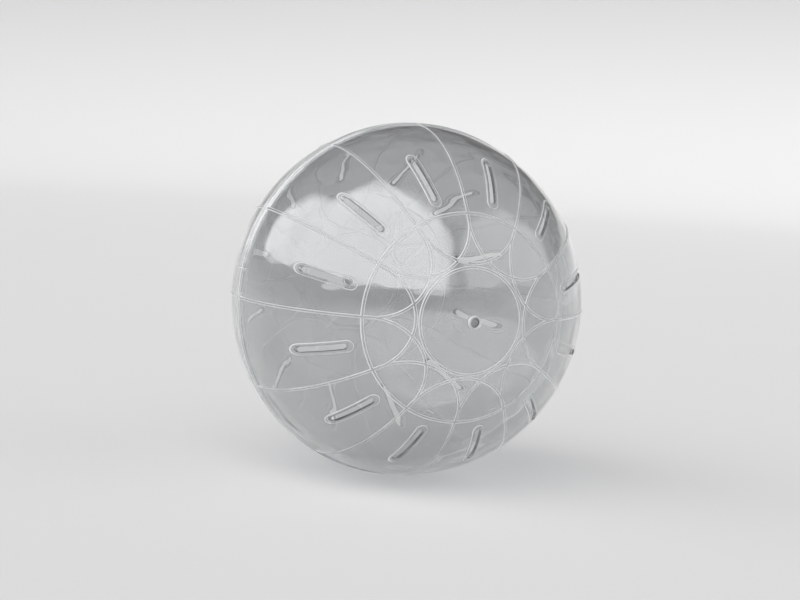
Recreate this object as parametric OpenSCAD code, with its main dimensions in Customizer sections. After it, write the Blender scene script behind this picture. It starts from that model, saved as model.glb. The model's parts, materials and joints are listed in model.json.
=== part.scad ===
// Clear plastic exercise ball for a hamster, in two halves that pull apart.
// Millimetres. The origin is the centre of the ball. The poles, with their axle bosses, lie on Y,
// the front pole at -Y, and the seam is the circle at y = 0. The ball stands on its belt at -Z.

/* [Ball] */
// Outside diameter of the spherical wall
ball_d = 180; // [120:1:240]
// Thickness of the moulded wall
wall = 1.5; // [1.2:0.1:2.5]

/* [Ribs] */
// Number of radial ribs, and of rosette arcs and slots
rib_count = 12; // [8:1:16]
// Width of a raised rib
rib_w = 1.2; // [0.8:0.1:2]
// Height of a rib above the wall
rib_h = 0.5; // [0.3:0.1:0.9]
// Angle from the pole to the small ring
small_ring_angle = 16.7; // [12:0.1:17]
// Angle from the pole to the nearest point of a rosette arc
rosette_angle = 18; // [17.5:0.1:22]
// Angle from the pole to the large ring, where the arcs and the radial ribs meet
large_ring_angle = 34.4; // [30:0.1:36]

/* [Air slots] */
// Width of a slot
slot_w = 3; // [2:0.1:4]
// Width of the raised rim along a slot's sides
slot_rim_w = 1.4; // [1:0.1:2]
// Length of the raised rim beyond a slot's ends
slot_rim_end = 2.4; // [1.5:0.1:3]
// Angle from the pole to a slot's near end
slot_near_angle = 39.7; // [39:0.1:45]
// Angle from the pole to a slot's far end
slot_far_angle = 58; // [50:0.1:65]

/* [Axle bosses] */
// Outside diameter of a boss
boss_d = 6.4; // [6:0.1:10]
// Height of a boss above the wall
boss_h = 2.8; // [1:0.1:5]
// Diameter of the axle socket in a boss
socket_d = 5; // [3:0.1:5.2]
// Depth of the axle socket
socket_depth = 3.2; // [1.5:0.1:3.5]
// Chamfer round the end of a boss
boss_chamfer = 0.25; // [0.1:0.05:0.3]

/* [Seam] */
// Gap between the rims of the two halves
rim_gap = 0.3; // [0.2:0.05:0.6]
// Height of the belt above the wall
belt_proud = 1; // [0.8:0.1:2]
// Width of the belt on each half, from the middle of the seam
belt_w = 3.2; // [3:0.1:6]
// Chamfer on the corners of the belt
belt_chamfer = 0.4; // [0.2:0.05:0.6]

/* [Spigot] */
// Length of the spigot that goes inside the front rim
spigot_len = 5; // [4.5:0.1:8]
// Thickness of the spigot
spigot_wall = 1.2; // [1:0.1:1.8]
// Gap between the tip of the spigot and the front half's inner face
spigot_clearance = 0.15; // [0.12:0.01:0.4]
// Lead-in chamfer at the tip of the spigot
spigot_lead = 0.4; // [0.2:0.05:0.6]
// Depth of the spigot's straight root inside the rear half
root_h = 3; // [2:0.1:5]
// Depth over which the root slopes out to the wall
root_slope_h = 5; // [4:0.1:8]

/* [Twist lock] */
// Number of lugs
lug_count = 4; // [2:1:6]
// Length of a lug round the spigot
lug_len = 8; // [5:0.5:12]
// Height of a lug above the spigot
lug_h = 1.1; // [0.6:0.05:1.1]
// Thickness of a lug along the ball's axis
lug_t = 1.4; // [1:0.1:1.6]
// Distance from the middle of the seam to a lug
lug_setback = 1.2; // [1:0.1:1.5]
// Clearance round a lug in its channel
lug_clearance = 0.2; // [0.15:0.05:0.3]
// Angle through which the halves would turn to lock
lock_turn = 12; // [8:1:20]

/* [Hidden] */
$fn = 144;

ball_r = ball_d / 2;
inner_r = ball_r - wall;
rib_r = ball_r + rib_h;
belt_r = ball_r + belt_proud;
rim_y = rim_gap / 2;
step_angle = 360 / rib_count;
// Overrun of every cut past the face that it starts from
cut = 1;

// Rings of the pattern, as distances from the ball's axis
small_ring_r = ball_r * sin(small_ring_angle);
large_ring_r = ball_r * sin(large_ring_angle);
rosette_r = ball_r * sin(rosette_angle);

// A rosette arc starts and ends on the large ring, two ribs apart, and touches the rosette's circle.
// Seen along the axis it is part of a true circle, found from those three points.
arc_end_x = large_ring_r * cos(step_angle);
arc_centre = (large_ring_r * large_ring_r - rosette_r * rosette_r) / (2 * (arc_end_x - rosette_r));
arc_r = arc_centre - rosette_r;

// Slot ends, as distances from the ball's axis
slot_near_r = ball_r * sin(slot_near_angle);
slot_far_r = ball_r * sin(slot_far_angle);

// The spigot clears the front half's inner face where that is narrowest, at the spigot's tip
spigot_r = sqrt(inner_r * inner_r - spigot_len * spigot_len) - spigot_clearance;
spigot_inner_r = spigot_r - spigot_wall;
mid_wall_r = ball_r - wall / 2;
lug_r = spigot_r + lug_h;
lug_angle = lug_len / spigot_r * 180 / PI;
channel_r = lug_r + lug_clearance;
gate_angle = lug_angle + 2 * lug_clearance / spigot_r * 180 / PI;
channel_near = lug_setback - lug_clearance;
channel_far = lug_setback + lug_t + lug_clearance;

// A flat ring of radius r and width w
module flat_ring(r, w) {
    difference() {
        circle(r + w / 2);
        circle(r - w / 2);
    }
}

// A slot outline along X, from x1 to x2 and w wide, with round ends
module slot_outline(x1, x2, w) {
    translate([x1 + w / 2, 0]) circle(w / 2);
    translate([x2 - w / 2, 0]) circle(w / 2);
    translate([x1 + w / 2, -w / 2]) square([x2 - x1 - w, w]);
}

// Copies of a shape round the axis, the first turned by a
module round_the_pole(count, a = 0) {
    for (i = [0 : count - 1]) rotate(a + i * 360 / count) children();
}

// One rosette arc, inside the large ring
module rosette_arc() {
    intersection() {
        circle(large_ring_r);
        translate([arc_centre, 0]) flat_ring(arc_r, rib_w);
    }
}

// All that stands proud of the dome, seen along the axis
module rib_pattern() {
    flat_ring(small_ring_r, rib_w);
    flat_ring(large_ring_r, rib_w);
    round_the_pole(rib_count) rosette_arc();
    round_the_pole(rib_count) translate([large_ring_r, -rib_w / 2]) square([rib_r - large_ring_r, rib_w]);
    round_the_pole(rib_count, step_angle / 2)
        slot_outline(slot_near_r - slot_rim_end, slot_far_r + slot_rim_end, slot_w + 2 * slot_rim_w);
}

// The air slots, seen along the axis
module slot_pattern() {
    round_the_pole(rib_count, step_angle / 2) slot_outline(slot_near_r, slot_far_r, slot_w);
}

// The belt of one half, a low band with chamfered corners
module belt() {
    rotate_extrude()
        polygon([
            [mid_wall_r, 0],
            [belt_r - belt_chamfer, 0],
            [belt_r - belt_chamfer, rim_y],
            [belt_r, rim_y + belt_chamfer],
            [belt_r, belt_w - belt_chamfer],
            [mid_wall_r, belt_w + wall / 2]
        ]);
}

// The axle boss at the pole, down to the middle of the wall
module boss() {
    boss_r = boss_d / 2;
    rotate_extrude()
        polygon([
            [0, mid_wall_r],
            [boss_r, mid_wall_r],
            [boss_r, ball_r + boss_h - boss_chamfer],
            [boss_r - boss_chamfer, ball_r + boss_h],
            [0, ball_r + boss_h]
        ]);
}

// One half of the ball with its pole at +Z and the middle of the seam at z = 0
module dome() {
    difference() {
        union() {
            sphere(ball_r);
            intersection() {
                sphere(rib_r);
                linear_extrude(rib_r) rib_pattern();
            }
            belt();
            boss();
        }
        sphere(inner_r);
        linear_extrude(rib_r) slot_pattern();
        translate([0, 0, ball_r + boss_h - socket_depth]) cylinder(d = socket_d, h = socket_depth + cut);
        translate([0, 0, rim_y - belt_r - cut]) cylinder(r = belt_r + cut, h = belt_r + cut);
    }
}

// The ring that guides the rear half inside the front half, below z = 0, with its root above
module spigot() {
    rotate_extrude()
        polygon([
            [spigot_inner_r, -spigot_len],
            [spigot_r - spigot_lead, -spigot_len],
            [spigot_r, spigot_lead - spigot_len],
            [spigot_r, rim_y],
            [mid_wall_r, rim_y],
            [mid_wall_r, root_h + root_slope_h],
            [spigot_inner_r, root_h]
        ]);
}

// A block that follows the seam: radii r1 to r2, heights z1 to z2, and a degrees long
module seam_block(r1, r2, z1, z2, a) {
    rotate_extrude(angle = a) translate([r1, z1]) square([r2 - r1, z2 - z1]);
}

// The lugs on the spigot
module lugs() {
    round_the_pole(lug_count, step_angle / 2 + step_angle - lug_angle / 2)
        seam_block(spigot_r - spigot_wall / 2, lug_r, -lug_setback - lug_t, -lug_setback, lug_angle);
}

// The channels that take the lugs: a gate from the rim, and a run round the seam
module lock_channels() {
    round_the_pole(lug_count, step_angle / 2 + step_angle - gate_angle / 2) {
        seam_block(inner_r - wall, channel_r, -cut, channel_far, gate_angle);
        seam_block(inner_r - wall, channel_r, channel_near, channel_far, gate_angle + lock_turn);
    }
}

// The front half, with its pole at -Y
module front_shell() {
    color([0.85, 0.87, 0.88, 0.45])
        rotate([90, 0, 0])
            difference() {
                dome();
                lock_channels();
            }
}

// The rear half, with its pole at +Y
module rear_shell() {
    color([0.8, 0.82, 0.84, 0.45])
        mirror([0, 1, 0])
            rotate([90, 0, 0]) {
                dome();
                spigot();
                lugs();
            }
}

front_shell();
rear_shell();
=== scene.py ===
import collections
import json
import math

import bmesh
import bpy
import numpy as np
from mathutils import Matrix, Vector
from mathutils.geometry import delaunay_2d_cdt
from mathutils.kdtree import KDTree


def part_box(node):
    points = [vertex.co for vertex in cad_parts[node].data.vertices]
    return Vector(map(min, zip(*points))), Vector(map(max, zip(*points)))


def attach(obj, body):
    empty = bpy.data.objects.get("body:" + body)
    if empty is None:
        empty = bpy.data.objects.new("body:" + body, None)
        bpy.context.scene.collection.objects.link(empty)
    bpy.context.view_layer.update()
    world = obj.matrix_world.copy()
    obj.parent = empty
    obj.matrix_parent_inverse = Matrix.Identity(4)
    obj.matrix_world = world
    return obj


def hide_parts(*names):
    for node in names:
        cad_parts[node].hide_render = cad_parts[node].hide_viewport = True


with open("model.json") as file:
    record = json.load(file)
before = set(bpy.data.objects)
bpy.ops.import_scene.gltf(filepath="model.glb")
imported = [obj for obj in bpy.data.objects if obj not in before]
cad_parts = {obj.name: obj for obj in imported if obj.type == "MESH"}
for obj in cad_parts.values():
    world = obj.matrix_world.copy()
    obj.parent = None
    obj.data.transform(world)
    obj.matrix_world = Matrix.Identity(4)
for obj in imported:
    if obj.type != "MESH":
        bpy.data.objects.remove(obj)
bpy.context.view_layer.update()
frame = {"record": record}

# A clear exercise ball in two halves that pull apart. Each half is made in its own frame, with its
# pole at +Z and the middle of the seam at z = 0, and is then turned into place. Lengths are in metres.

MM = 0.001

# Sizes that the frame gives
BELT_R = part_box("front_shell")[1].x
RIM_Z = -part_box("front_shell")[1].y
BOSS_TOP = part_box("rear_shell")[1].y
SPIGOT_LEN = -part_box("rear_shell")[0].y
SOCKET = next(m["dims"] for m in frame["record"]["mounts"] if m["name"] == "front_axle_socket")
SOCKET_R = SOCKET["r_mm"] * MM
SOCKET_DEPTH = SOCKET["length_mm"] * MM

# Wall
BALL_R = 90 * MM
WALL = 1.5 * MM
INNER_R = BALL_R - WALL

# Ribs, as angles from the pole and sizes across
RIB_COUNT = 12
STEP = 2 * math.pi / RIB_COUNT
HALF_STEP = STEP / 2
RIB_W = 1.2 * MM
RIB_H = 0.5 * MM
SMALL_RING_R = BALL_R * math.sin(math.radians(16.7))
ROSETTE_R = BALL_R * math.sin(math.radians(18))
LARGE_RING_R = BALL_R * math.sin(math.radians(34.4))
# Half the width over which the side of a rib rises, seen along the axis
RIB_EDGE = 0.25 * MM
# Half the width of the frosted line along each side of a rib, which is a painted glint
GLINT_EDGE = 0.38 * MM

# Air slots and their raised rims, as distances from the axis
SLOT_W = 3 * MM
SLOT_NEAR_R = BALL_R * math.sin(math.radians(39.7))
SLOT_FAR_R = BALL_R * math.sin(math.radians(58))
SLOT_RIM_W = SLOT_W + 2 * 1.4 * MM
SLOT_RIM_END = 2.4 * MM
SLOT_RIM_NEAR_R = SLOT_NEAR_R - SLOT_RIM_END
SLOT_RIM_FAR_R = SLOT_FAR_R + SLOT_RIM_END
SLOT_OUTER_ROUND = 0.3 * MM
SLOT_INNER_ROUND = 0.2 * MM

# Axle boss
BOSS_R = 3.2 * MM
BOSS_FILLET = 0.5 * MM
BOSS_ROUND = 0.3 * MM
SOCKET_ROUND = 0.15 * MM

# Belt
BELT_W = 3.2 * MM
BELT_CHAMFER = 0.4 * MM
BELT_ROUND = 0.25 * MM
BELT_FILLET = 0.3 * MM
EDGE_ROUND = 0.12 * MM
MID_WALL_R = BALL_R - WALL / 2

# Spigot inside the front rim
SPIGOT_CLEARANCE = 0.15 * MM
SPIGOT_WALL = 1.2 * MM
SPIGOT_LEAD = 0.4 * MM
SPIGOT_R = math.sqrt(INNER_R ** 2 - SPIGOT_LEN ** 2) - SPIGOT_CLEARANCE
SPIGOT_INNER_R = SPIGOT_R - SPIGOT_WALL
# The spigot's root is straight up to ROOT_Z, and then slopes out to the wall
ROOT_Z = 3 * MM
ROOT_SLOPE_Z = 5 * MM
ROOT_ROUND = 1 * MM
ROOT_FILLET = 0.6 * MM

# Twist lock
LUG_COUNT = 4
LUG_STEP = 2 * math.pi / LUG_COUNT
LUG_PLACE = STEP + HALF_STEP
LUG_LEN = 8 * MM
LUG_H = 1.1 * MM
LUG_T = 1.4 * MM
LUG_SETBACK = 1.2 * MM
LUG_CLEARANCE = 0.2 * MM
LUG_ANGLE = LUG_LEN / SPIGOT_R
GATE_ANGLE = LUG_ANGLE + 2 * LUG_CLEARANCE / SPIGOT_R
LOCK_TURN = math.radians(12)
CHANNEL_R = SPIGOT_R + LUG_H + LUG_CLEARANCE
CHANNEL_NEAR_Z = LUG_SETBACK - LUG_CLEARANCE
CHANNEL_FAR_Z = LUG_SETBACK + LUG_T + LUG_CLEARANCE
# Half the width of a step at the edge of a lug or a channel
LOCK_EDGE = 0.04 * MM
LOCK_EDGE_ANGLE = LOCK_EDGE / SPIGOT_R
# Where the rows of points beside such an edge lie, in half widths
BESIDE_AN_EDGE = (-2, -1, 1, 2)
CLEAR_OF_AN_EDGE = 3
# Heights of the rows of points above the rim, below the lugs, and where the plain inside begins
RIM_ROW_Z = 0.45 * MM
SPIGOT_ROW_Z = -3.4 * MM
FRONT_BAND_Z = 4 * MM

# How fine the meshes are: steps along lines, spacing of the loose points between them, and how far
# those keep off the lines
LINE_STEP = 1.2 * MM
OUTER_FILL = 2.6 * MM
INNER_FILL = 3.4 * MM
KEEP_OFF = 0.8 * MM
# Rings of loose points round a boss: their distance from its foot, and one point for so many turns
RINGS_ROUND_BOSS = ((0.4 * MM, 2), (1.2 * MM, 3), (2.6 * MM, 4))
SLOT_ARC_STEPS = 10
SLOT_SIDE_STEPS = 16
CORNER_STEPS = 4
BOSS_TURNS = 72
SEAM_TURNS = 360
NORMAL_REACH = 0.002 * MM
CDT_EPSILON = 1e-7
WELD = 0.003 * MM
ALMOST_ZERO = 0.001 * MM

# How far a grid's rows turn at an edge that gets the full frost of a painted glint
CORNER_TURN = math.radians(30)
# How much of the full frost, painted as a glint, the edges of the slots, the edges of a boss and the side
# of a boss have
SLOT_GLINT = 0.15
BOSS_GLINT = 0.35
BOSS_SIDE_GLINT = 0.9
# How much of the full painted shade the walls of the slots have
SLOT_PAINTED_SHADE = 0.5

# A rosette arc, seen along the axis, is part of the circle that starts and ends on the large ring,
# two ribs apart, and touches the rosette's circle
ARC_END_X = LARGE_RING_R * math.cos(STEP)
ARC_CENTRE = (LARGE_RING_R ** 2 - ROSETTE_R ** 2) / (2 * (ARC_END_X - ROSETTE_R))
ARC_R = ARC_CENTRE - ROSETTE_R

# The belt's sloping side, as the line r + BELT_SLOPE * z = BELT_LINE
BELT_SIDE_Z = BELT_W - BELT_CHAMFER
BELT_SLOPE_Z = BELT_W + WALL / 2
BELT_SLOPE = (BELT_R - MID_WALL_R) / (BELT_SLOPE_Z - BELT_SIDE_Z)
BELT_LINE = BELT_R + BELT_SLOPE * BELT_SIDE_Z
BELT_SLOPE_LEN = math.hypot(BELT_R - MID_WALL_R, BELT_SLOPE_Z - BELT_SIDE_Z)
BELT_TOP = (
    BELT_R - (BELT_R - MID_WALL_R) * BELT_ROUND / BELT_SLOPE_LEN,
    BELT_SIDE_Z + (BELT_SLOPE_Z - BELT_SIDE_Z) * BELT_ROUND / BELT_SLOPE_LEN,
)
BELT_TOP_POLAR = math.atan2(*BELT_TOP)
# The height at which that line meets the sphere of the wall
BELT_FOOT_Z = (
    BELT_LINE * BELT_SLOPE - math.sqrt(BALL_R ** 2 * (1 + BELT_SLOPE ** 2) - BELT_LINE ** 2)
) / (1 + BELT_SLOPE ** 2)
BELT_FOOT_POLAR = math.acos(BELT_FOOT_Z / BALL_R)
BOSS_POLAR = math.asin((BOSS_R + BOSS_FILLET) / BALL_R)


def root_end():
    """Where the sloping root of the spigot meets the inside of the wall, as (r, z)."""
    start = np.array([SPIGOT_INNER_R, ROOT_Z])
    on = np.array([MID_WALL_R, ROOT_Z + ROOT_SLOPE_Z]) - start
    a, b, c = on @ on, 2 * start @ on, start @ start - INNER_R ** 2
    return tuple(start + on * (-b + math.sqrt(b * b - 4 * a * c)) / (2 * a))


ROOT_END = root_end()
# Where the plain inside begins, as angles from the pole
FRONT_BAND_POLAR = math.acos(FRONT_BAND_Z / INNER_R)
REAR_BAND_POLAR = math.atan2(*ROOT_END) - 2 * ROOT_FILLET / INNER_R

# What is raised stands along the axis up to the first angle, as it leaves the mould, and square to
# the wall from the second
UPRIGHT_TO = math.radians(62)
SQUARE_FROM = math.radians(75)

# The photograph's frame and the camera that fits it
IMAGE_W_PX = 800
IMAGE_H_PX = 600
FOCAL_PX = 2119
SENSOR_W_MM = 36
CAMERA_DISTANCE = 1.092
CAMERA_AZIMUTH = -21.2
CAMERA_ELEVATION = 6.1
CAMERA_ROLL = 3.4
BALL_CENTRE_PX = (406.4, 299.6)

# The soft lights: direction from the ball, half their width in degrees, and brightness
SOFT_LIGHTS = (
    ((-0.7, -0.56, 0.44), 50, 2.5),
    ((-0.93, 0.36, 0.34), 26, 2.2),
    ((0.75, -0.55, 0.3), 32, 1.1),
)
# How many degrees a light takes to fade out, how bright the room is beside them, and the tint of all
SOFT_EDGE = 5
ROOM_LEVEL = 0.2
ROOM_TINT = (1.0, 1.0, 1.0)

# The floor, in rings that rise in a bend to a low wall
FLOOR_RINGS = (0.3, 0.8, 1.5, 2.2)
BEND_R = 0.7
BACKDROP_TOP = 0.75
FLOOR_TURNS = 96
BEND_STEPS = 16
# The paper's tone at the floor's height, and further up, where it is darker as painted shade that tones
# down the stronger light on the wall
PAPER_TONES = (0.7, 0.43)
PAPER_HEIGHTS = (-0.09, 0.35)
PAPER_ROUGHNESS = 0.9

# Clear plastic: the tint of light through it, a darker tint through the walls of slots and sockets that
# paints shade there, and the tint of its shadow
PLASTIC_TINT = (0.7, 0.71, 0.715)
PAINTED_SHADE_TINT = (0.17, 0.172, 0.175)
SHADOW_TINT = (0.84, 0.845, 0.85)
PLASTIC_IOR = 1.58
COAT_ROUGHNESS = 0.01
# Slow waves of the plastic's flow, a haze in it, and the grit of frost, each as the scale and detail
# of a noise and the depth of its bumps
FLOW_NOISE = (42.0, 1.0)
FLOW_DEPTH = 1.8 * MM
HAZE_NOISE = (60.0, 3.0)
HAZE_DEPTH = 0.01 * MM
GRIT_NOISE = (2600.0, 2.0)
GRIT_DEPTH = 0.1 * MM
# How rough the outside is from the least to the most haze, and what the inside and a scratch add
HAZE_RANGE = (0.35, 0.7)
ROUGHNESS_RANGE = (0.015, 0.035)
INSIDE_ROUGHNESS = 0.03
SCRATCH_ROUGHNESS = 0.25
# Frost: how it returns light and passes it on, and its share of an edge, where it is a painted glint, by
# the haze, and of a scratch
FROST_TINT = (0.95, 0.955, 0.96)
FROST_ROUGHNESS = 0.4
GLOW_TINT = (0.98, 0.985, 0.99)
GLOW_SHARE = 0.6
GLINT_RANGE = (0.35, 0.65)
FROST_RANGE = (0.85, 1.0)
SCRATCH_FROST = 0.12
# Scratches are where the wall cuts thin sheets of noise that lie three ways. A sheet has a scale across
# it and two along it, shows above a level of noise, and fades where the wall lies along it.
SHEET_TURNS = ((0.4, 0.9, 0.2), (1.3, 0.2, 2.0), (0.1, 2.2, 1.1))
SHEET_SCALES = (1000.0, 22.0, 30.0)
SHEET_NOISE = (1.0, 1.0)
SHEET_LEVELS = (0.76, 0.81)
SHEET_FADE = (0.9, 0.7)


# Shape of the dome

def smooth_step(t):
    t = np.clip(t, 0, 1)
    return t * t * (3 - 2 * t)


def smooth_max(a, b, reach):
    """The larger of two heights, with a fillet where they are nearly the same."""
    return np.maximum(a, b) + np.maximum(reach - np.abs(a - b), 0) ** 2 / (4 * reach)


def beside_the_raised(x, y):
    """How far a point, seen along the axis, lies from a rib or a slot's rim. It is negative on them."""
    r = np.hypot(x, y)
    a = np.abs((np.arctan2(y, x) + HALF_STEP) % STEP - HALF_STEP)
    x, y = r * np.cos(a), r * np.sin(a)
    rings = np.minimum(np.abs(r - SMALL_RING_R), np.abs(r - LARGE_RING_R)) - RIB_W / 2
    arcs = np.min([
        np.abs(np.hypot(x - ARC_CENTRE * math.cos(t), y - ARC_CENTRE * math.sin(t)) - ARC_R)
        for t in (-STEP, 0, STEP)
    ], axis=0) - RIB_W / 2
    arcs = np.maximum(arcs, r - LARGE_RING_R)
    radial_rib = np.maximum(y - RIB_W / 2, LARGE_RING_R - x)
    along = x * math.cos(HALF_STEP) + y * math.sin(HALF_STEP)
    across = y * math.cos(HALF_STEP) - x * math.sin(HALF_STEP)
    nearest = np.clip(along, SLOT_RIM_NEAR_R + SLOT_RIM_W / 2, SLOT_RIM_FAR_R - SLOT_RIM_W / 2)
    rim = np.hypot(along - nearest, across) - SLOT_RIM_W / 2
    return np.min([rings, arcs, radial_rib, rim], axis=0)


def seen_along_axis(u, v):
    """A point of the outer face laid flat, as the x and y at which it is seen along the axis."""
    seen = BALL_R * np.sin(np.hypot(u, v) / BALL_R)
    azimuth = np.arctan2(v, u)
    return seen * np.cos(azimuth), seen * np.sin(azimuth)


def glint_frost_at(u, v):
    """How much frost the outer face has as a painted glint: 1 on the edges of what is raised, and 0 away
    from them.
    """
    beside = beside_the_raised(*seen_along_axis(u, v))
    return smooth_step(1 - np.abs(beside) / GLINT_EDGE)


def from_polar(r, polar, azimuth):
    return np.stack([
        r * np.sin(polar) * np.cos(azimuth),
        r * np.sin(polar) * np.sin(azimuth),
        r * np.cos(polar),
    ], axis=-1)


def on_dome(u, v):
    """The outer face. (u, v) is the face laid flat, with true lengths from the pole."""
    polar = np.hypot(u, v) / BALL_R
    azimuth = np.arctan2(v, u)
    beside = beside_the_raised(*seen_along_axis(u, v))
    r = BALL_R + RIB_H * smooth_step((RIB_EDGE - beside) / (2 * RIB_EDGE))
    upright = np.arcsin(BALL_R * np.sin(polar) / r)
    square = smooth_step((polar - UPRIGHT_TO) / (SQUARE_FROM - UPRIGHT_TO))
    polar = upright + (polar - upright) * square
    belt = BELT_LINE / (np.sin(polar) + BELT_SLOPE * np.cos(polar))
    return from_polar(smooth_max(r, belt, BELT_FILLET), polar, azimuth)


def on_inside(u, v):
    """The inner face, laid flat in the same way."""
    return from_polar(INNER_R, np.hypot(u, v) / INNER_R, np.arctan2(v, u))


def laid_flat(x, y, r):
    """A point seen along the axis, moved to where it lies once the sphere of radius r is laid flat."""
    seen = np.hypot(x, y)
    scale = r * np.arcsin(seen / r) / seen
    return np.stack([x * scale, y * scale], axis=-1)


# Lines that the triangles follow

def circle_line(r):
    count = math.ceil(2 * math.pi * r / LINE_STEP)
    a = np.arange(count) * 2 * math.pi / count
    return r * np.cos(a), r * np.sin(a)


def arc_line(r, azimuth):
    """The part of a rosette arc of radius r that lies inside the large ring, seen along the axis."""
    # The angle at the arc's own centre, from the direction of the ball's axis to the arc's end
    reach = math.acos((ARC_CENTRE ** 2 + r ** 2 - LARGE_RING_R ** 2) / (2 * ARC_CENTRE * r))
    count = math.ceil(2 * reach * r / LINE_STEP)
    a = np.linspace(-reach, reach, count + 1)
    x, y = ARC_CENTRE - r * np.cos(a), r * np.sin(a)
    return turned(x, y, azimuth)


def turned(x, y, a):
    return x * math.cos(a) - y * math.sin(a), x * math.sin(a) + y * math.cos(a)


def slot_line(near, far, r, azimuth):
    """An outline with round ends of radius r about the points near and far, clockwise."""
    end = np.linspace(-math.pi / 2, math.pi / 2, SLOT_ARC_STEPS + 1)
    side = np.linspace(0, 1, SLOT_SIDE_STEPS + 1)[1:-1]
    x = np.concatenate([far + r * np.cos(end), far + (near - far) * side,
                        near - r * np.cos(end), near + (far - near) * side])
    y = np.concatenate([r * np.sin(end), 0 * side + r, -r * np.sin(end), 0 * side - r])
    return turned(x[::-1], y[::-1], azimuth)


def slot_edge(offset, azimuth):
    """The edge of an air slot, moved outward by offset."""
    return slot_line(SLOT_NEAR_R + SLOT_W / 2, SLOT_FAR_R - SLOT_W / 2, SLOT_W / 2 + offset, azimuth)


def radial_line(offset, azimuth):
    """A line beside a radial rib, already laid flat, from the large ring to the belt."""
    start = math.asin(LARGE_RING_R / BALL_R)
    end = BELT_TOP_POLAR - EDGE_ROUND / BALL_R
    polar = np.linspace(start, end, math.ceil(BALL_R * (end - start) / LINE_STEP) + 1)
    a = azimuth + np.arcsin(offset / (BALL_R * np.sin(polar)))
    return np.stack([BALL_R * polar * np.cos(a), BALL_R * polar * np.sin(a)], axis=-1)


def even_turns(count):
    return np.arange(count) * 2 * math.pi / count


def seam_turns():
    """The azimuths of the rows round the seam: even steps, and both sides of each edge of the lock."""
    half_lug, half_gate = LUG_ANGLE / 2, GATE_ANGLE / 2
    edges = []
    for k in range(LUG_COUNT):
        place = LUG_PLACE + k * LUG_STEP
        for edge in (-half_lug, half_lug, -half_gate, half_gate, half_gate + LOCK_TURN):
            edges += [place + edge + side * LOCK_EDGE_ANGLE for side in BESIDE_AN_EDGE]
    edges = np.array(edges) % (2 * math.pi)
    clear = [
        a for a in even_turns(SEAM_TURNS)
        if np.min(np.abs(edges - a)) > CLEAR_OF_AN_EDGE * LOCK_EDGE_ANGLE
    ]
    return np.sort(np.concatenate([edges, clear]))


def flat_circle(length, turns):
    return np.stack([length * np.cos(turns), length * np.sin(turns)], axis=-1)


# Patches of mesh: points, outward directions, faces, how much frost each point has as a painted glint, and
# how much painted shade it has

Patch = collections.namedtuple("Patch", "points outward faces worn shaded")


def flat_fill(radius, spacing):
    """A grid of points, in rows a half step apart, over a disc."""
    row = spacing * math.sqrt(3) / 2
    half = math.ceil(radius / row) + 1
    j, i = np.mgrid[-half:half + 1, -half:half + 1]
    points = np.stack([(i + 0.5 * (j % 2)) * spacing, j * row], axis=-1).reshape(-1, 2)
    return points[np.hypot(*points.T) < radius]


def triangulated(lines, loose, drop, point_at, outward, glint_frost_at=None):
    """A patch whose triangles follow the closed and open lines, less those for which drop is true."""
    points, edges = [], []
    for line, closed in lines:
        first = len(points)
        points += [Vector(p) for p in line]
        edges += [(first + i, first + i + 1) for i in range(len(line) - 1)]
        if closed:
            edges.append((first + len(line) - 1, first))
    points += [Vector(p) for p in loose]
    made, _, faces, _, _, _ = delaunay_2d_cdt(points, edges, [], 0, CDT_EPSILON)
    made = np.array([tuple(p) for p in made])
    faces = np.array(faces)
    middle = made[faces].mean(axis=1)
    faces = faces[~drop(middle)]
    u, v = made.T
    across = point_at(u + NORMAL_REACH, v) - point_at(u - NORMAL_REACH, v)
    up = point_at(u, v + NORMAL_REACH) - point_at(u, v - NORMAL_REACH)
    worn = glint_frost_at(u, v) if glint_frost_at else 0 * u
    return Patch(point_at(u, v), outward * np.cross(across, up), faces, worn, 0 * u)


def sharp_rows(directions):
    """1 where a grid's rows turn a corner, and 0 where they run straight on."""
    unit = directions / np.linalg.norm(directions, axis=-1, keepdims=True)
    before = np.concatenate([unit[:1], unit[:-1]])
    after = np.concatenate([unit[1:], unit[-1:]])
    turn = np.arccos(np.clip(np.einsum("ijk,ijk->ij", before, after), -1, 1))
    return smooth_step(turn / CORNER_TURN)


def grid_patch(rows, glint=1.0):
    """A patch from closed rows of points, which run with the plastic on their right."""
    rows = np.array(rows)
    down = np.gradient(rows, axis=0)
    along = np.roll(rows, -1, axis=1) - np.roll(rows, 1, axis=1)
    count, width = rows.shape[:2]
    faces = []
    for i in range(count - 1):
        for j in range(width):
            a, b = i * width + j, i * width + (j + 1) % width
            faces.append((a, a + width, b + width))
            faces.append((a, b + width, b))
    outward = np.cross(down, along)
    # Where the rows turn a corner they get frost as a painted glint
    worn = glint * sharp_rows(outward).ravel()
    return Patch(rows.reshape(-1, 3), outward.reshape(-1, 3), np.array(faces), worn, 0 * worn)


def curve_through_corner(a, corner, b):
    """Points on a round corner from a to b."""
    a, corner, b = np.array(a), np.array(corner), np.array(b)
    ts = np.linspace(0, 1, CORNER_STEPS + 1)
    return [a * (1 - t) ** 2 + corner * 2 * t * (1 - t) + b * t ** 2 for t in ts]


def rounded(profile):
    """The points of a profile of (r, z, rounding), with each corner made round."""
    out = [np.array(profile[0][:2])]
    for before, at, after in zip(profile, profile[1:], profile[2:]):
        corner = np.array(at[:2])
        if at[2] == 0:
            out.append(corner)
            continue
        back = np.array(before[:2]) - corner
        on = np.array(after[:2]) - corner
        start = corner + back * at[2] / np.linalg.norm(back)
        end = corner + on * at[2] / np.linalg.norm(on)
        out += curve_through_corner(start, corner, end)
    out.append(np.array(profile[-1][:2]))
    keep = [out[0]]
    for p in out[1:]:
        if np.linalg.norm(p - keep[-1]) > ALMOST_ZERO:
            keep.append(p)
    return np.array(keep)


def lathe(profile, turns):
    """Rows of points: a profile of (r, z) turned round the axis."""
    return np.array([[(r * math.cos(a), r * math.sin(a), z) for a in turns] for r, z in profile])


# Parts of one half

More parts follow.
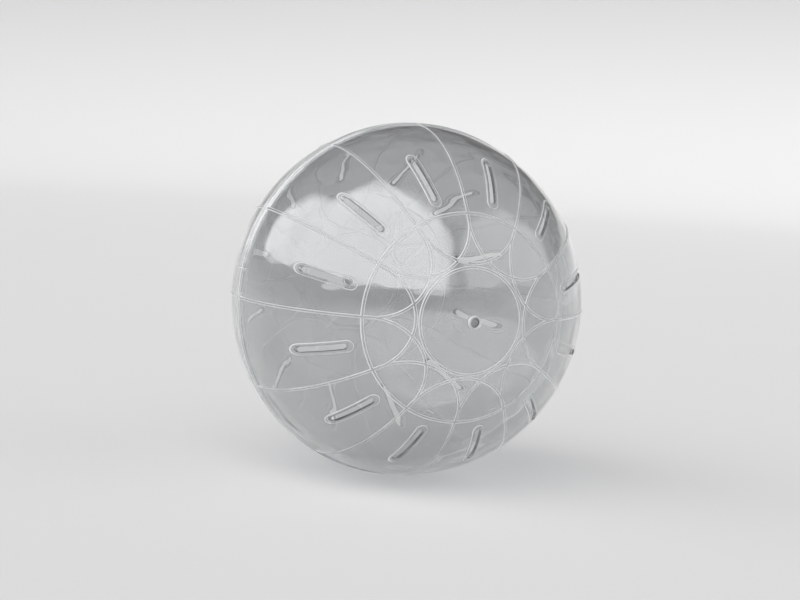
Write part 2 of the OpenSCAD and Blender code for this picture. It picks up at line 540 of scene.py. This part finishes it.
def raised_lines():
    """The lines along the sides of what is raised, laid flat, each with whether it is closed."""
    lines = []
    for offset in (-GLINT_EDGE, *np.linspace(-RIB_EDGE, RIB_EDGE, CORNER_STEPS + 1), GLINT_EDGE):
        for side in (-1, 1):
            across = side * (RIB_W / 2 + offset)
            for ring in (SMALL_RING_R, LARGE_RING_R):
                lines.append((laid_flat(*circle_line(ring + across), BALL_R), True))
            for k in range(RIB_COUNT):
                lines.append((laid_flat(*arc_line(ARC_R + across, k * STEP), BALL_R), False))
                lines.append((radial_line(across, k * STEP), False))
        for k in range(RIB_COUNT):
            rim = slot_line(
                SLOT_RIM_NEAR_R + SLOT_RIM_W / 2, SLOT_RIM_FAR_R - SLOT_RIM_W / 2,
                SLOT_RIM_W / 2 + offset, HALF_STEP + k * STEP,
            )
            lines.append((laid_flat(*rim, BALL_R), True))
    return lines


def outer_fill():
    """Loose points over the outer face, clear of what is raised, and rings of them round the boss."""
    grid = flat_fill(BALL_R * BELT_FOOT_POLAR - OUTER_FILL, OUTER_FILL)
    x, y = seen_along_axis(*grid.T)
    off_the_raised = beside_the_raised(x, y) > KEEP_OFF
    off_the_boss = np.hypot(x, y) > BOSS_R + 2 * OUTER_FILL
    boss_turns = even_turns(BOSS_TURNS)
    rings = [
        flat_circle(BALL_R * BOSS_POLAR + gap, boss_turns[::every])
        for gap, every in RINGS_ROUND_BOSS
    ]
    return np.concatenate([grid[off_the_raised & off_the_boss]] + rings)


def outer_face(turns):
    """The outside of the wall, from the boss's foot to the belt's slope, with all that is raised."""
    lines = raised_lines()
    for k in range(RIB_COUNT):
        lines.append((laid_flat(*slot_edge(SLOT_OUTER_ROUND, HALF_STEP + k * STEP), BALL_R), True))
    # The line where the belt's slope meets the wall, and its fillet
    for shift in np.linspace(-BELT_FILLET, BELT_FILLET, CORNER_STEPS + 1):
        lines.append((flat_circle(BALL_R * BELT_FOOT_POLAR + shift, turns), True))
    lines.append((flat_circle(BALL_R * BELT_TOP_POLAR, turns), True))
    lines.append((flat_circle(BALL_R * BOSS_POLAR, even_turns(BOSS_TURNS)), True))

    def in_a_hole(points):
        in_the_boss = np.hypot(*points.T) < BALL_R * BOSS_POLAR
        return in_a_slot(points, BALL_R, SLOT_OUTER_ROUND) | in_the_boss

    return triangulated(lines, outer_fill(), in_a_hole, on_dome, 1, glint_frost_at)


def in_a_slot(points, sphere_r, offset):
    """Which points of a sphere laid flat are inside an air slot whose edge is moved outward by offset."""
    seen = sphere_r * np.sin(np.hypot(*points.T) / sphere_r)
    a = np.arctan2(points[:, 1], points[:, 0]) % STEP - HALF_STEP
    along, across = seen * np.cos(a), seen * np.sin(a)
    nearest = np.clip(along, SLOT_NEAR_R + SLOT_W / 2, SLOT_FAR_R - SLOT_W / 2)
    return np.hypot(along - nearest, across) < SLOT_W / 2 + offset


def inner_face(turns, end_polar):
    """The inside of the wall, from the pole to the given angle."""
    lines = [(flat_circle(INNER_R * end_polar, turns), True)]
    for k in range(RIB_COUNT):
        lines.append((laid_flat(*slot_edge(SLOT_INNER_ROUND, HALF_STEP + k * STEP), INNER_R), True))
    loose = flat_fill(INNER_R * end_polar - INNER_FILL / 2, INNER_FILL)
    loose = loose[~in_a_slot(loose, INNER_R, SLOT_INNER_ROUND + KEEP_OFF)]

    def in_a_hole(points):
        return in_a_slot(points, INNER_R, SLOT_INNER_ROUND)

    return triangulated(lines, loose, in_a_hole, on_inside, -1)


def slot_wall(azimuth):
    """The walls of one air slot, along the axis, with round edges."""
    def at(offset, sphere_r):
        x, y = slot_edge(offset, azimuth)
        return np.stack([x, y, np.sqrt(sphere_r ** 2 - x ** 2 - y ** 2)], axis=-1)

    top, bottom = BALL_R + RIB_H, INNER_R
    axis = np.array([0, 0, 1])
    rows = curve_through_corner(
        at(SLOT_OUTER_ROUND, top), at(0, top), at(0, top) - axis * SLOT_OUTER_ROUND,
    )
    rows += curve_through_corner(
        at(0, bottom) + axis * SLOT_INNER_ROUND, at(0, bottom), at(SLOT_INNER_ROUND, bottom),
    )
    patch = grid_patch(rows, glint=SLOT_GLINT)
    # The walls of the slot get painted shade, as a darker tint
    return patch._replace(shaded=patch.shaded + SLOT_PAINTED_SHADE)


def boss():
    """The axle boss with its socket, from the middle of the socket's floor to the boss's foot."""
    foot_r = BALL_R * math.sin(BOSS_POLAR)
    foot_z = BALL_R * math.cos(BOSS_POLAR)
    floor_z = BOSS_TOP - SOCKET_DEPTH
    profile = rounded([
        (ALMOST_ZERO, floor_z, 0),
        (SOCKET_R, floor_z, SOCKET_ROUND),
        (SOCKET_R, BOSS_TOP, SOCKET_ROUND),
        (BOSS_R, BOSS_TOP, BOSS_ROUND),
        (BOSS_R, foot_z, BOSS_FILLET),
        (foot_r, foot_z, 0),
    ])
    patch = grid_patch(lathe(profile, even_turns(BOSS_TURNS)), glint=BOSS_GLINT)
    x, y, z = patch.points.T
    r = np.hypot(x, y)
    # The socket's walls and floor get painted shade, as a darker tint
    in_socket = (r < SOCKET_R + ALMOST_ZERO) & (z < BOSS_TOP - SOCKET_ROUND)
    # The side of the boss gets frost as a painted highlight, a bright crescent, and its foot stays clear
    above_the_foot = z > foot_z + BOSS_FILLET - ALMOST_ZERO
    side_glint = BOSS_SIDE_GLINT * (above_the_foot & (r > BOSS_R - ALMOST_ZERO))
    worn = np.maximum(patch.worn * above_the_foot, side_glint)
    return patch._replace(worn=worn, shaded=in_socket.astype(float))


def block(a, low, high, edge):
    """1 between low and high, with steep sides."""
    return smooth_step((a - low + edge) / (2 * edge)) * smooth_step((high + edge - a) / (2 * edge))


def from_nearest_lug(azimuth):
    """The angle from the middle of the nearest lug."""
    return (azimuth - LUG_PLACE + LUG_STEP / 2) % LUG_STEP - LUG_STEP / 2


def lug_share(azimuth, z):
    """1 on a lug of the spigot, and 0 beside it."""
    a = from_nearest_lug(azimuth)
    along = block(a, -LUG_ANGLE / 2, LUG_ANGLE / 2, LOCK_EDGE_ANGLE)
    return along * block(-z, LUG_SETBACK, LUG_SETBACK + LUG_T, LOCK_EDGE)


def channel_share(azimuth, z):
    """1 in a channel of the front rim, and 0 beside it."""
    a = from_nearest_lug(azimuth)
    gate = block(a, -GATE_ANGLE / 2, GATE_ANGLE / 2, LOCK_EDGE_ANGLE)
    run = block(a, -GATE_ANGLE / 2, GATE_ANGLE / 2 + LOCK_TURN, LOCK_EDGE_ANGLE)
    past_the_near_side = smooth_step((z - CHANNEL_NEAR_Z + LOCK_EDGE) / (2 * LOCK_EDGE))
    short_of_the_far_side = smooth_step((CHANNEL_FAR_Z + LOCK_EDGE - z) / (2 * LOCK_EDGE))
    return np.maximum(gate, run * past_the_near_side) * short_of_the_far_side


def belt_profile():
    """From the belt's slope, down its side to the rim."""
    return [
        (*BELT_TOP, 0),
        (BELT_R, BELT_SIDE_Z, BELT_ROUND),
        (BELT_R, RIM_Z + BELT_CHAMFER, EDGE_ROUND),
        (BELT_R - BELT_CHAMFER, RIM_Z, EDGE_ROUND),
    ]


def step_rows(level):
    """Heights on both sides of a level where a lug or channel has an edge."""
    return [level + side * LOCK_EDGE for side in BESIDE_AN_EDGE]


def pushed_out(rows, share_at, may_move, by):
    """Rows of points moved away from the axis by a share of a length, where they may move."""
    x, y, z = np.moveaxis(rows, -1, 0)
    r = np.hypot(x, y)
    push = share_at(np.arctan2(y, x), z) * may_move(r) * by
    return rows * np.stack([(r + push) / r, (r + push) / r, np.ones_like(r)], axis=-1)


def front_rim(turns):
    """The belt, the rim face and the channels of the twist lock, up to the plain inside."""
    heights = [
        RIM_ROW_Z,
        *step_rows(CHANNEL_NEAR_Z),
        (CHANNEL_NEAR_Z + CHANNEL_FAR_Z) / 2,
        *step_rows(CHANNEL_FAR_Z),
        FRONT_BAND_Z,
    ]
    inside = [(math.sqrt(INNER_R ** 2 - z ** 2), z, 0) for z in heights]
    profile = rounded(belt_profile() + [(INNER_R, RIM_Z, EDGE_ROUND)] + inside)

    def on_the_inside(r):
        return r < CHANNEL_R

    return grid_patch(pushed_out(lathe(profile, turns), channel_share, on_the_inside, CHANNEL_R - INNER_R))


def rear_rim(turns):
    """The belt, the rim face, the spigot with its lugs and root, up to the plain inside."""
    heights = [
        *step_rows(-LUG_SETBACK),
        -LUG_SETBACK - LUG_T / 2,
        *step_rows(-LUG_SETBACK - LUG_T),
        SPIGOT_ROW_Z,
    ]
    heights.sort(reverse=True)
    profile = rounded(
        belt_profile()
        + [(SPIGOT_R, RIM_Z, EDGE_ROUND)]
        + [(SPIGOT_R, z, 0) for z in heights]
        + [
            (SPIGOT_R, SPIGOT_LEAD - SPIGOT_LEN, EDGE_ROUND),
            (SPIGOT_R - SPIGOT_LEAD, -SPIGOT_LEN, EDGE_ROUND),
            (SPIGOT_INNER_R, -SPIGOT_LEN, EDGE_ROUND),
            (SPIGOT_INNER_R, ROOT_Z, ROOT_ROUND),
            (*ROOT_END, ROOT_FILLET),
            (INNER_R * math.sin(REAR_BAND_POLAR), INNER_R * math.cos(REAR_BAND_POLAR), 0),
        ]
    )

    def on_the_outside(r):
        return np.abs(r - SPIGOT_R) < ALMOST_ZERO

    return grid_patch(pushed_out(lathe(profile, turns), lug_share, on_the_outside, LUG_H))


def to_front(points):
    x, y, z = points.T
    return np.stack([x, -z, y], axis=-1)


def to_rear(points):
    x, y, z = points.T
    return np.stack([x, z, y], axis=-1)


def welded(name, patches, place):
    """One closed mesh from patches that meet at their edges, with the true outward directions.

    Where two patches meet, the directions and looks are the earlier one's.
    """
    faces = []
    count = 0
    for patch in patches:
        faces.append(patch.faces + count)
        count += len(patch.points)
    points = place(np.concatenate([patch.points for patch in patches]))
    outward = place(np.concatenate([patch.outward for patch in patches]))
    outward /= np.linalg.norm(outward, axis=1, keepdims=True)
    mesh = bpy.data.meshes.new(name)
    mesh.from_pydata(points.tolist(), [], np.concatenate(faces).tolist())
    work = bmesh.new()
    work.from_mesh(mesh)
    bmesh.ops.remove_doubles(work, verts=work.verts, dist=WELD)
    bmesh.ops.recalc_face_normals(work, faces=work.faces)
    work.to_mesh(mesh)
    work.free()
    near = KDTree(len(points))
    for i, point in enumerate(points):
        near.insert(point, i)
    near.balance()
    first = [min(i for _, i, _ in near.find_range(vertex.co, 2 * WELD)) for vertex in mesh.vertices]
    for look in ("worn", "shaded"):
        values = np.concatenate([getattr(patch, look) for patch in patches])[first]
        mesh.attributes.new(look, "FLOAT", "POINT").data.foreach_set("value", values.astype(np.float32))
    mesh.polygons.foreach_set("use_smooth", [True] * len(mesh.polygons))
    mesh.normals_split_custom_set_from_vertices(outward[first].tolist())
    shell = bpy.data.objects.new(name, mesh)
    bpy.context.scene.collection.objects.link(shell)
    return shell


def make_half(name, place, rim, band_polar, turns):
    """One half of the ball: its rim, and the dome whose plain inside ends at an angle from the pole."""
    patches = [outer_face(turns), inner_face(turns, band_polar), boss(), rim(turns)]
    patches += [slot_wall(HALF_STEP + k * STEP) for k in range(RIB_COUNT)]
    return welded(name, patches, place)


# Materials

def colour(tint):
    return (*tint, 1.0)


def new_material(name):
    """An empty node material, with its tree and output."""
    material = bpy.data.materials.new(name)
    material.use_nodes = True
    tree = material.node_tree
    tree.nodes.clear()
    output = tree.nodes.new("ShaderNodeOutputMaterial")
    return material, tree, output


def noise(tree, place, scale, detail):
    node = tree.nodes.new("ShaderNodeTexNoise")
    node.inputs["Scale"].default_value = scale
    node.inputs["Detail"].default_value = detail
    tree.links.new(place, node.inputs["Vector"])
    return node.outputs["Fac"]


def ramp(tree, value, low, high, to_low=0.0, to_high=1.0):
    """value from low to high, turned into to_low to to_high."""
    node = tree.nodes.new("ShaderNodeMapRange")
    tree.links.new(value, node.inputs["Value"])
    for name, number in (("From Min", low), ("From Max", high), ("To Min", to_low), ("To Max", to_high)):
        node.inputs[name].default_value = number
    return node.outputs["Result"]


def turned_parts(tree, vector, turn):
    """The x, y and z of a vector after a turn."""
    rotate = tree.nodes.new("ShaderNodeVectorRotate")
    rotate.rotation_type = "EULER_XYZ"
    rotate.inputs["Rotation"].default_value = turn
    tree.links.new(vector, rotate.inputs["Vector"])
    parts = tree.nodes.new("ShaderNodeSeparateXYZ")
    tree.links.new(rotate.outputs["Vector"], parts.inputs["Vector"])
    return parts.outputs


def attribute(tree, name):
    node = tree.nodes.new("ShaderNodeAttribute")
    node.attribute_name = name
    return node.outputs["Fac"]


def maths(tree, kind, *values):
    """A Math node on sockets and plain numbers."""
    node = tree.nodes.new("ShaderNodeMath")
    node.operation = kind
    for socket, value in zip(node.inputs, values):
        if isinstance(value, float):
            socket.default_value = value
        else:
            tree.links.new(value, socket)
    return node.outputs["Value"]


def mixed(tree, share, first, second):
    """A shader that goes from the first to the second as the share, a socket or a number, rises to 1."""
    node = tree.nodes.new("ShaderNodeMixShader")
    fac, first_in, second_in = node.inputs
    if isinstance(share, float):
        fac.default_value = share
    else:
        tree.links.new(share, fac)
    tree.links.new(first, first_in)
    tree.links.new(second, second_in)
    return node.outputs["Shader"]


def bumped(tree, height, depth, under=None):
    """A surface's direction with a bump, on top of another one where that is given."""
    node = tree.nodes.new("ShaderNodeBump")
    node.inputs["Distance"].default_value = depth
    tree.links.new(height, node.inputs["Height"])
    if under:
        tree.links.new(under, node.inputs["Normal"])
    return node.outputs["Normal"]


def wall_side(tree, place, outward):
    """1 where a face looks away from the ball's centre, and -1 where it looks inward."""
    facing = tree.nodes.new("ShaderNodeVectorMath")
    facing.operation = "DOT_PRODUCT"
    tree.links.new(place, facing.inputs[0])
    tree.links.new(outward, facing.inputs[1])
    return maths(tree, "SIGN", facing.outputs["Value"])


def fine_scratches(tree, place, outward):
    """1 in a scratch, and 0 beside it."""
    scratches = None
    for turn in SHEET_TURNS:
        sheet = tree.nodes.new("ShaderNodeCombineXYZ")
        for socket, part, scale in zip(sheet.inputs, turned_parts(tree, place, turn), SHEET_SCALES):
            tree.links.new(maths(tree, "MULTIPLY", part, scale), socket)
        thin = ramp(tree, noise(tree, sheet.outputs["Vector"], *SHEET_NOISE), *SHEET_LEVELS)
        across = turned_parts(tree, outward, turn)["X"]
        thin = maths(tree, "MULTIPLY", thin, ramp(tree, maths(tree, "ABSOLUTE", across), *SHEET_FADE))
        scratches = thin if scratches is None else maths(tree, "MAXIMUM", scratches, thin)
    return scratches


def tint_with_painted_shade(tree):
    """The tint of light through the plastic, darker in the slots and sockets as painted shade."""
    node = tree.nodes.new("ShaderNodeMix")
    node.data_type = "RGBA"
    clear, shaded = (socket for socket in node.inputs if socket.type == "RGBA")
    clear.default_value = colour(PLASTIC_TINT)
    shaded.default_value = colour(PAINTED_SHADE_TINT)
    tree.links.new(attribute(tree, "shaded"), node.inputs["Factor"])
    return next(socket for socket in node.outputs if socket.type == "RGBA")


def polished(tree, place, side, haze, scratches):
    """The plastic itself: the mould's polish on its outside, and a little haze on its inside."""
    # The waves follow the side, so that the wall waves as a whole and what lies behind stays straight
    waves = maths(tree, "MULTIPLY", noise(tree, place, *FLOW_NOISE), side)
    inside = ramp(tree, side, 1.0, -1.0)
    rough = ramp(tree, haze, *HAZE_RANGE, *ROUGHNESS_RANGE)
    rough = maths(tree, "ADD", rough, maths(tree, "MULTIPLY", scratches, SCRATCH_ROUGHNESS))
    rough = maths(tree, "ADD", rough, maths(tree, "MULTIPLY", inside, INSIDE_ROUGHNESS))
    node = tree.nodes.new("ShaderNodeBsdfPrincipled")
    node.inputs["IOR"].default_value = PLASTIC_IOR
    node.inputs["Transmission Weight"].default_value = 1.0
    node.inputs["Coat Roughness"].default_value = COAT_ROUGHNESS
    tree.links.new(tint_with_painted_shade(tree), node.inputs["Base Color"])
    tree.links.new(ramp(tree, inside, 1.0, 0.0), node.inputs["Coat Weight"])
    tree.links.new(rough, node.inputs["Roughness"])
    tree.links.new(bumped(tree, haze, HAZE_DEPTH, bumped(tree, waves, FLOW_DEPTH)), node.inputs["Normal"])
    return node.outputs["BSDF"]


def frosted(tree, place):
    """Frost, which returns some of the light and lets some through from the other side, painted on edges
    in place of their glints.
    """
    frost = tree.nodes.new("ShaderNodeBsdfPrincipled")
    frost.inputs["Base Color"].default_value = colour(FROST_TINT)
    frost.inputs["Roughness"].default_value = FROST_ROUGHNESS
    grit = noise(tree, place, *GRIT_NOISE)
    tree.links.new(bumped(tree, grit, GRIT_DEPTH), frost.inputs["Normal"])
    glow = tree.nodes.new("ShaderNodeBsdfTranslucent")
    glow.inputs["Color"].default_value = colour(GLOW_TINT)
    return mixed(tree, GLOW_SHARE, frost.outputs["BSDF"], glow.outputs["BSDF"])


def clear_plastic():
    """Clear moulded plastic: flow waves, a faint haze, fine scratches, and frost along the edges as a
    painted glint.
    """
    material, tree, output = new_material("clear_plastic")
    coordinates = tree.nodes.new("ShaderNodeTexCoord")
    place = coordinates.outputs["Object"]
    outward = coordinates.outputs["Normal"]
    haze = noise(tree, place, *HAZE_NOISE)
    scratches = fine_scratches(tree, place, outward)
    clear = polished(tree, place, wall_side(tree, place, outward), haze, scratches)
    # Edges get frost as a painted glint, in a share that the haze breaks up
    glint = ramp(tree, haze, *GLINT_RANGE, *FROST_RANGE)
    edge = maths(tree, "MULTIPLY", attribute(tree, "worn"), glint)
    frost = maths(tree, "MAXIMUM", edge, maths(tree, "MULTIPLY", scratches, SCRATCH_FROST))
    body = mixed(tree, frost, clear, frosted(tree, place))
    shadow = tree.nodes.new("ShaderNodeBsdfTransparent")
    shadow.inputs["Color"].default_value = colour(SHADOW_TINT)
    path = tree.nodes.new("ShaderNodeLightPath")
    surface = mixed(tree, path.outputs["Is Shadow Ray"], body, shadow.outputs["BSDF"])
    tree.links.new(surface, output.inputs["Surface"])
    return material


def matt_paper():
    """The floor's paper, a little darker where it rises at the back, as painted shade against the stronger
    light there.
    """
    material, tree, output = new_material("floor_paper")
    parts = tree.nodes.new("ShaderNodeSeparateXYZ")
    tree.links.new(tree.nodes.new("ShaderNodeTexCoord").outputs["Object"], parts.inputs["Vector"])
    tone = ramp(tree, parts.outputs["Z"], *PAPER_HEIGHTS, *PAPER_TONES)
    diffuse = tree.nodes.new("ShaderNodeBsdfPrincipled")
    tree.links.new(tone, diffuse.inputs["Base Color"])
    diffuse.inputs["Roughness"].default_value = PAPER_ROUGHNESS
    tree.links.new(diffuse.outputs["BSDF"], output.inputs["Surface"])
    return material


# Stage

def floor_and_backdrop():
    """A round floor that curves up into a low wall all round."""
    floor_r = FLOOR_RINGS[-1]
    profile = [(r, 0) for r in FLOOR_RINGS]
    for i in range(1, BEND_STEPS + 1):
        a = math.pi / 2 * i / BEND_STEPS
        profile.append((floor_r + BEND_R * math.sin(a), BEND_R - BEND_R * math.cos(a)))
    profile.append((floor_r + BEND_R, BACKDROP_TOP))
    verts = [(0, 0, -BELT_R)]
    for r, z in profile:
        verts += [(r * math.cos(t), r * math.sin(t), z - BELT_R) for t in even_turns(FLOOR_TURNS)]
    faces = [(0, 1 + k, 1 + (k + 1) % FLOOR_TURNS) for k in range(FLOOR_TURNS)]
    for i in range(len(profile) - 1):
        ring = 1 + i * FLOOR_TURNS
        for k in range(FLOOR_TURNS):
            a, b = ring + k, ring + (k + 1) % FLOOR_TURNS
            faces.append((a, a + FLOOR_TURNS, b + FLOOR_TURNS, b))
    mesh = bpy.data.meshes.new("floor")
    mesh.from_pydata(verts, [], faces)
    mesh.polygons.foreach_set("use_smooth", [True] * len(mesh.polygons))
    mesh.materials.append(matt_paper())
    floor = bpy.data.objects.new("floor", mesh)
    bpy.context.scene.collection.objects.link(floor)


def studio_light():
    """A dim even room with large round soft lights to the left of the camera."""
    world = bpy.data.worlds.new("studio")
    bpy.context.scene.world = world
    world.use_nodes = True
    tree = world.node_tree
    background = tree.nodes["Background"]
    background.inputs["Color"].default_value = colour(ROOM_TINT)
    direction = tree.nodes.new("ShaderNodeTexCoord").outputs["Generated"]
    level = None
    for towards, half_angle, bright in SOFT_LIGHTS:
        along = tree.nodes.new("ShaderNodeVectorMath")
        along.operation = "DOT_PRODUCT"
        along.inputs[1].default_value = Vector(towards).normalized()
        tree.links.new(direction, along.inputs[0])
        edge = math.cos(math.radians(half_angle + SOFT_EDGE))
        full = math.cos(math.radians(half_angle))
        lit = ramp(tree, along.outputs["Value"], edge, full, ROOM_LEVEL, bright)
        level = lit if level is None else maths(tree, "MAXIMUM", level, lit)
    tree.links.new(level, background.inputs["Strength"])


def add_camera():
    azimuth = math.radians(CAMERA_AZIMUTH)
    elevation = math.radians(CAMERA_ELEVATION)
    back = Vector((
        math.sin(azimuth) * math.cos(elevation),
        -math.cos(azimuth) * math.cos(elevation),
        math.sin(elevation),
    ))
    right = Vector((0, 0, 1)).cross(back).normalized()
    up = back.cross(right)
    roll = math.radians(CAMERA_ROLL)
    right, up = (
        right * math.cos(roll) + up * math.sin(roll),
        up * math.cos(roll) - right * math.sin(roll),
    )
    lens = FOCAL_PX * SENSOR_W_MM / IMAGE_W_PX
    across = (BALL_CENTRE_PX[0] - IMAGE_W_PX / 2) / FOCAL_PX
    down = (BALL_CENTRE_PX[1] - IMAGE_H_PX / 2) / FOCAL_PX
    # The line from the camera to the ball's centre leaves the lens axis by those slopes
    axis = (-back - right * across + up * down).normalized()
    right = (right - axis * right.dot(axis)).normalized()
    up = right.cross(axis)
    data = bpy.data.cameras.new("camera")
    data.sensor_width = SENSOR_W_MM
    data.lens = lens
    camera = bpy.data.objects.new("camera", data)
    camera.matrix_world = Matrix((
        (right.x, up.x, -axis.x, back.x * CAMERA_DISTANCE),
        (right.y, up.y, -axis.y, back.y * CAMERA_DISTANCE),
        (right.z, up.z, -axis.z, back.z * CAMERA_DISTANCE),
        (0, 0, 0, 1),
    ))
    bpy.context.scene.collection.objects.link(camera)
    bpy.context.scene.camera = camera


bpy.context.scene.view_settings.view_transform = "Standard"
add_camera()
floor_and_backdrop()
studio_light()

plastic = clear_plastic()
turns = seam_turns()
for name, place, rim, band_polar, node, body in (
    ("front_dome", to_front, front_rim, FRONT_BAND_POLAR, "front_shell", "front_half"),
    ("rear_dome", to_rear, rear_rim, REAR_BAND_POLAR, "rear_shell", "rear_half"),
):
    half = make_half(name, place, rim, band_polar, turns)
    half.data.materials.append(plastic)
    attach(half, body)
    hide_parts(node)
